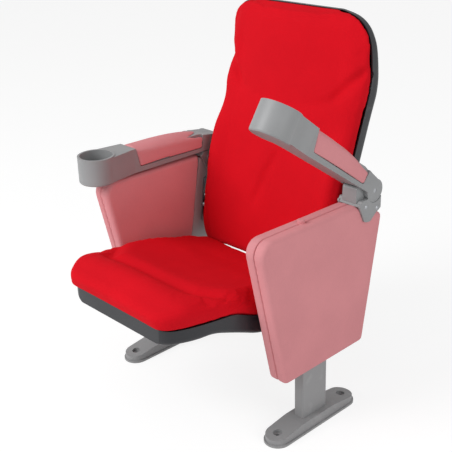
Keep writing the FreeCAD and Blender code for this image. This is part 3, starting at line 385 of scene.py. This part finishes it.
def seatShape(place, normal):
    look = seatCushionLook
    up = ease(normal.z, *facing)
    gap, where = lineDistance(place.x, place.y, look["valleyPath"])
    ends = ease(min(where, 1 - where), *look["valleyEnds"])
    move = -look["valley"] * bell(gap, look["valleyWidth"]) * ends
    move += look["roll"] * bell(place.y + look["rollY"], look["rollWidth"])
    move -= (look["dish"] * bell(place.x, look["dishWidth"])
             * bell(place.y + look["dishY"], look["dishLength"]))
    # the rear is a little flatter, so that the tipped seat clears the back's foot
    move -= look["hip"] * ease(place.y, *look["hipY"])
    # the roll hangs over the pan at its front and its two corners
    proud = ease(-place.y, *look["shoulderY"]) * ease(place.z, *look["shoulderZ"])
    proud *= ease(math.hypot(normal.x, normal.y), *look["shoulderTurn"])
    return (move * up + look["shoulder"] * proud
            + softCreases(place, look["ripple"]) * ease(normal.z, *inView))


# the roll reaches further to the front, and the rear end to the back's foot
def seatPlace(place):
    look = seatCushionLook
    rear = look["rear"] * ease(place.y, *look["rearY"])
    return (0, rear - look["front"] * ease(-place.y, *look["frontY"]), 0)


def makeSeatCushion():
    look = seatCushionLook
    piece = nodeCopy("seat_cushion", "seatCushion")
    refit(piece, seatPlace)
    reskin(piece, look)
    puffUp(piece, look["pressure"], look["cap"])
    applyModifier(piece, "SUBSURF", levels=1, render_levels=1)
    sculpt(piece, seatShape)
    finishSoft(piece, "seat_cushion", "seat")


backCushionLook = {
    "voxel": 0.0068, "smoothing": 5, "pressure": 3.0, "cap": 0.005, "fill": 0.85, "ripple": 0.0009,
    # the line under the headrest is faint in its middle
    "neck": 0.010, "neckWidth": 0.014, "neckFaint": 0.15, "neckEnds": (0.12, 0.3),
    "neckPath": ((-0.232, 0.872), (-0.205, 0.842), (-0.160, 0.797), (-0.070, 0.776),
                 (0.070, 0.776), (0.160, 0.797), (0.205, 0.842), (0.232, 0.872)),
    "fold": 0.0060, "foldWidth": 0.015, "foldEnds": (0.0, 0.25),
    "foldPath": ((0.027, 0.667), (-0.018, 0.570), (-0.054, 0.465)),
    "hollow": 0.013, "hollowX": 0.222, "hollowZ": 0.745, "hollowWidth": 0.036, "hollowHeight": 0.055,
    "bolster": 0.006, "bolsterX": 0.200, "bolsterZ": 0.555, "bolsterWidth": 0.035,
    "bolsterHeight": 0.110,
    "shoulder": 0.009, "shoulderX": (0.180, 0.234), "shoulderZ": (0.78, 0.86),
    "cheek": 0.012, "cheekX": (0.165, 0.222), "cheekLow": (0.42, 0.62), "cheekHigh": (-1.0, -0.88),
    "crown": 0.0045, "crownZ": (0.90, 0.97), "crownTurn": (0.4, 0.9),
    "waist": 0.009, "waistZ": 0.385, "waistHeight": 0.080, "waistTurn": (0.3, 0.8),
    "topDrop": 0.009, "topZ": (0.88, 1.03), "cornerRise": 0.6, "cornerX": (0.13, 0.235),
    "topSpread": 0.007, "spreadZ": (0.82, 0.96), "halfWidth": 0.24,
    "footDrop": 0.012, "footZ": (-0.43, -0.337), "shellFrom": 0.6, "shellSmooth": 32}


def backShape(place, normal):
    look = backCushionLook
    front = ease(-normal.y, *facing)
    aside = abs(place.x)
    gap, where = lineDistance(place.x, place.z, look["neckPath"])
    sideways = look["neckFaint"] + (1 - look["neckFaint"]) * ease(abs(where - 0.5), *look["neckEnds"])
    move = -look["neck"] * bell(gap, look["neckWidth"]) * sideways
    gap, where = lineDistance(place.x, place.z, look["foldPath"])
    move -= look["fold"] * bell(gap, look["foldWidth"]) * ease(min(where, 1 - where), *look["foldEnds"])
    move -= (look["hollow"] * bell(aside - look["hollowX"], look["hollowWidth"])
             * bell(place.z - look["hollowZ"], look["hollowHeight"]))
    move += (look["bolster"] * bell(aside - look["bolsterX"], look["bolsterWidth"])
             * bell(place.z - look["bolsterZ"], look["bolsterHeight"]))
    move -= look["shoulder"] * ease(aside, *look["shoulderX"]) * ease(place.z, *look["shoulderZ"])
    move += (look["cheek"] * ease(aside, *look["cheekX"]) * ease(place.z, *look["cheekLow"])
             * ease(-place.z, *look["cheekHigh"]))
    move *= front
    # the cover is pulled over the shell's top edge, and the sides fill out beside the waist
    edge = ease(math.hypot(normal.x, normal.z), *look["crownTurn"])
    move += look["crown"] * edge * ease(place.z, *look["crownZ"])
    move += (look["waist"] * ease(abs(normal.x), *look["waistTurn"])
             * bell(place.z - look["waistZ"], look["waistHeight"]))
    return move + softCreases(place, look["ripple"]) * ease(-normal.y, *inView)


# the top is lower and wider, and the foot comes down to the seat
def backPlace(place):
    look = backCushionLook
    drop = look["topDrop"] * ease(place.z, *look["topZ"])
    drop *= 1 - look["cornerRise"] * ease(abs(place.x), *look["cornerX"])
    aside = look["topSpread"] * ease(place.z, *look["spreadZ"]) * place.x / look["halfWidth"]
    return (aside, 0, -drop - look["footDrop"] * ease(-place.z, *look["footZ"]))


def shellPlace(place):
    return backPlace(place) if place.z > backCushionLook["shellFrom"] else (0, 0, 0)


# the shell keeps its form, and its top edge follows the cushion's
def makeBackShell():
    piece = nodeCopy("back_shell", "backShell")
    refit(piece, shellPlace)
    piece.data.materials.clear()
    piece.data.materials.append(materials["shell_plastic"])
    bpy.ops.object.shade_smooth_by_angle(angle=math.radians(backCushionLook["shellSmooth"]))
    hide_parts("back_shell")
    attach(piece, "frame")


def makeBackCushion():
    look = backCushionLook
    piece = nodeCopy("back_cushion", "backCushion")
    refit(piece, backPlace)
    reskin(piece, look)
    puffUp(piece, look["pressure"], look["cap"])
    applyModifier(piece, "SUBSURF", levels=1, render_levels=1)
    sculpt(piece, backShape)
    finishSoft(piece, "back_cushion", "frame")


panelCoverLook = {
    "voxel": 0.0042, "smoothing": 3, "fill": 0.8, "ripple": 0.0005,
    "crown": 0.0012, "crownTurn": (0.5, 0.95), "crownY": 0.02, "crownZ": 0.38,
    "crownLength": 0.13, "crownHeight": 0.14,
    "front": 0.007, "rear": 0.009, "frontY": -0.16, "length": 0.36, "blockZ": (0.49, 0.53),
    "low": 0.008, "high": 0.004, "lowZ": 0.184, "height": 0.393}


# the padding makes a cover a little larger than its board, but not under the arm's hinge block
def coverPlace(place):
    look = panelCoverLook
    back = min(max((place.y - look["frontY"]) / look["length"], 0.0), 1.0)
    rise = min(max((place.z - look["lowZ"]) / look["height"], 0.0), 1.0)
    rear = look["rear"] * back * (1 - ease(place.z, *look["blockZ"]))
    return (0, rear - look["front"] * (1 - back),
            look["high"] * rise * (1 - back) - look["low"] * (1 - rise))


# the stand's two covers: flat over the board, a little fuller in the middle
def makePanelCover(nodeName, pieceName):
    look = panelCoverLook
    piece = nodeCopy(nodeName, pieceName)
    refit(piece, coverPlace)
    middleX = sum(vertex.co.x for vertex in piece.data.vertices) / len(piece.data.vertices)
    outward = 1.0 if (middleX > 0) == nodeName.endswith("outer") else -1.0
    reskin(piece, look)

    def coverShape(place, normal):
        outside = ease(normal.x * outward, *look["crownTurn"])
        middle = (bell(place.y - look["crownY"], look["crownLength"])
                  * bell(place.z - look["crownZ"], look["crownHeight"]))
        return outside * (look["crown"] * middle + softCreases(place, look["ripple"]))
    sculpt(piece, coverShape)
    finishSoft(piece, nodeName, "frame")


armPadLook = {"voxel": 0.0032, "smoothing": 2, "pressure": 2.5, "cap": 0.002, "fill": 0.8,
              "ripple": 0.0004}


def makeArmPad(nodeName, pieceName, body):
    look = armPadLook
    piece = nodeCopy(nodeName, pieceName)
    reskin(piece, look)
    puffUp(piece, look["pressure"], look["cap"])
    sculpt(piece, lambda place, normal: softCreases(place, look["ripple"]))
    finishSoft(piece, nodeName, body)


makeSeatCushion()
print("seat cushion")
makeBackCushion()
makeBackShell()
print("back cushion and shell")
for side in ("left", "right"):
    makePanelCover(side + "_side_cover_outer", side + "OuterCover")
    makePanelCover(side + "_side_cover_inner", side + "InnerCover")
    makeArmPad(side + "_arm_pad", side + "ArmPad", side + "_arm")
print("stand covers and arm pads")


stageLook = {"size": 24.0, "floor": (0.80, 0.80, 0.80), "floorRoughness": 0.9,
             "shadowFloor": (0.30, 0.30, 0.30), "floorGlow": 0.78, "world": 0.45, "white": 1.0}


# the camera, and what mirrors the room, see the second look of a floor or a world
def seenAs(tree, surface, shown):
    path = addNode(tree, "ShaderNodeLightPath").outputs
    seen = maths(tree, "MAXIMUM", path["Is Camera Ray"], path["Is Glossy Ray"])
    seen = maths(tree, "MAXIMUM", seen, path["Is Transmission Ray"])
    mix = addNode(tree, "ShaderNodeMixShader", ((0, seen), (1, surface), (2, shown)))
    return mix.outputs[0]


def makeStage():
    look = stageLook
    bpy.ops.object.select_all(action="DESELECT")
    bpy.ops.mesh.primitive_plane_add(size=look["size"], location=(0, 0, 0))
    floor = bpy.context.object
    floor.name = "floor"
    material = bpy.data.materials.new("floorPaint")
    material.use_nodes = True
    tree = material.node_tree
    shader = tree.nodes["Principled BSDF"]
    shader.inputs["Base Color"].default_value = shade(look["floor"])
    shader.inputs["Roughness"].default_value = look["floorRoughness"]
    matt = addNode(tree, "ShaderNodeBsdfDiffuse", (("Color", shade(look["shadowFloor"])),))
    glow = addNode(tree, "ShaderNodeEmission", (("Strength", look["floorGlow"]),))
    pale = addNode(tree, "ShaderNodeAddShader", ((0, matt.outputs[0]), (1, glow.outputs[0])))
    out = tree.nodes["Material Output"]
    tree.links.new(seenAs(tree, shader.outputs[0], pale.outputs[0]), out.inputs["Surface"])
    floor.data.materials.append(material)
    world = bpy.data.worlds.new("softRoom")
    world.use_nodes = True
    bpy.context.scene.world = world
    tree = world.node_tree
    back = tree.nodes["Background"]
    back.inputs["Color"].default_value = (1, 1, 1, 1)
    back.inputs["Strength"].default_value = look["world"]
    white = addNode(tree, "ShaderNodeBackground", (("Strength", look["white"]),))
    out = [node for node in tree.nodes if node.type == "OUTPUT_WORLD"][0]
    tree.links.new(seenAs(tree, back.outputs[0], white.outputs[0]), out.inputs["Surface"])


lampLooks = {"frontLamp": {"place": (-1.2, -3.2, 2.8), "power": 100.0, "size": 2.4},
             "sideLamp": {"place": (3.6, 0.2, 1.9), "power": 31.0, "size": 2.6}}
lampAim = (0, 0, 0.5)


def makeLamp(name):
    look = lampLooks[name]
    lamp = bpy.data.lights.new(name, "AREA")
    lamp.energy = look["power"]
    lamp.shape = "DISK"
    lamp.size = look["size"]
    holder = bpy.data.objects.new(name, lamp)
    bpy.context.collection.objects.link(holder)
    holder.location = look["place"]
    aim = Vector(lampAim) - Vector(look["place"])
    holder.rotation_euler = aim.to_track_quat("-Z", "Y").to_euler()


makeStage()
for lampName in lampLooks:
    makeLamp(lampName)

cameraLook = {"place": (1.585, -1.4915, 1.413), "azimuth": 46.98, "tilt": 23.34, "roll": -1.71,
              "lens": 70.96, "film": 36.0}


def makeCamera():
    look = cameraLook
    data = bpy.data.cameras.new("photoCamera")
    data.lens = look["lens"]
    data.sensor_width = look["film"]
    camera = bpy.data.objects.new("photoCamera", data)
    bpy.context.collection.objects.link(camera)
    azimuth, tilt, roll = (math.radians(look[key]) for key in ("azimuth", "tilt", "roll"))
    forward = Vector((-math.sin(azimuth) * math.cos(tilt), math.cos(azimuth) * math.cos(tilt),
                      -math.sin(tilt)))
    right = Vector((math.cos(azimuth), math.sin(azimuth), 0))
    up = right.cross(forward)
    rolledRight = right * math.cos(roll) + up * math.sin(roll)
    rolledUp = up * math.cos(roll) - right * math.sin(roll)
    turned = Matrix((rolledRight, rolledUp, -forward)).transposed().to_4x4()
    camera.matrix_world = Matrix.Translation(look["place"]) @ turned
    bpy.context.scene.camera = camera


makeCamera()
bpy.context.scene.view_settings.view_transform = "Standard"
print("stage, lamps and camera")
